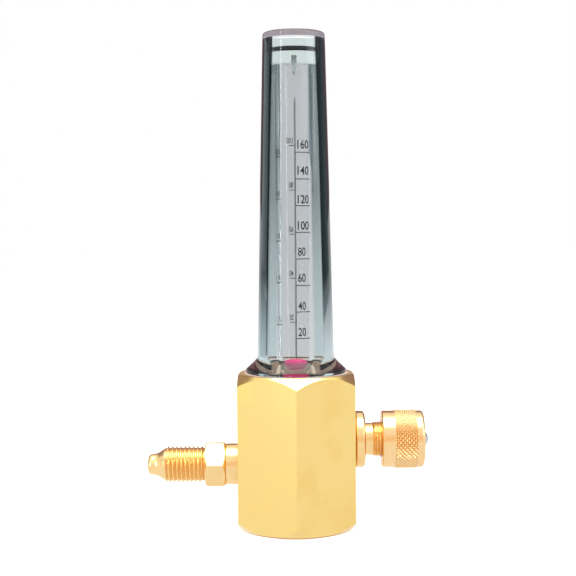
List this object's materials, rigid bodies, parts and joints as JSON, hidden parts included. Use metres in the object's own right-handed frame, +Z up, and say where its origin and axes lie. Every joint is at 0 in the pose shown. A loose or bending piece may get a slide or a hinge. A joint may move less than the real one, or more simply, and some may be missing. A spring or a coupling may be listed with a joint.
{
  "type": "flowmeter",
  "caption": "Gas flowmeter: clear tapered cover with a metering tube and float ball on a hexagonal brass block, with a needle valve on one side and a flare outlet on the other.",
  "frame": {"origin": "on the block's upright axis at its bottom face, the middle of the inlet port's mouth", "axes": "+Z up along the flow tube, +X out of the needle valve, -X out of the flare outlet"},
  "size_m": [0.0849, 0.0404, 0.1483],
  "materials": {
    "brass_block": "fine turned and milled",
    "brass_fitting": "turned",
    "brass_knob": "knurled",
    "brass_inner": "turned",
    "sintered_bronze": "sintered, grainy",
    "steel": "turned",
    "cover_clear": "clear, polished",
    "tube_glass": "clear, polished",
    "float_pink": "glossy",
    "plug_white": "moulded",
    "seal_rubber": "satin"
  },
  "bodies": {
    "meter": {"hex_body": "brass_block", "inlet_filter": "sintered_bronze", "filter_snap_ring": "steel", "tube_seat": "brass_inner", "tube_foot_o_ring": "seal_rubber", "flow_tube": "tube_glass", "tube_cover": "cover_clear", "cover_o_ring": "seal_rubber", "top_plug": "plug_white", "plug_o_ring": "seal_rubber", "outlet_fitting": "brass_fitting", "outlet_o_ring": "seal_rubber", "valve_bonnet": "brass_fitting", "bonnet_o_ring": "seal_rubber", "packing_bush": "brass_inner", "packing_o_ring_inner": "seal_rubber", "packing_o_ring_outer": "seal_rubber", "needle_seat": "brass_inner"},
    "float": {"float_ball": "float_pink"},
    "needle": {"needle_stem": "steel"},
    "knob": {"valve_knob": "brass_knob"}
  },
  "joints": [
    {"name": "float_rise", "type": "slide", "parent": "meter", "child": "float", "axis": [0, 0, 1], "range_m": [0, 0.0864]},
    {"name": "needle_travel", "type": "slide", "parent": "meter", "child": "needle", "axis": [1, 0, 0], "range_m": [0, 0.00238]},
    {"name": "knob_turn", "type": "hinge", "parent": "needle", "child": "knob", "pos_m": [0.038, 0, 0.0263], "axis": [1, 0, 0], "range_deg": [0, 1080]}
  ],
  "couplings": [
    {"joint": "knob_turn", "follows": "needle_travel", "rad_per_m": 7915.8}
  ]
}
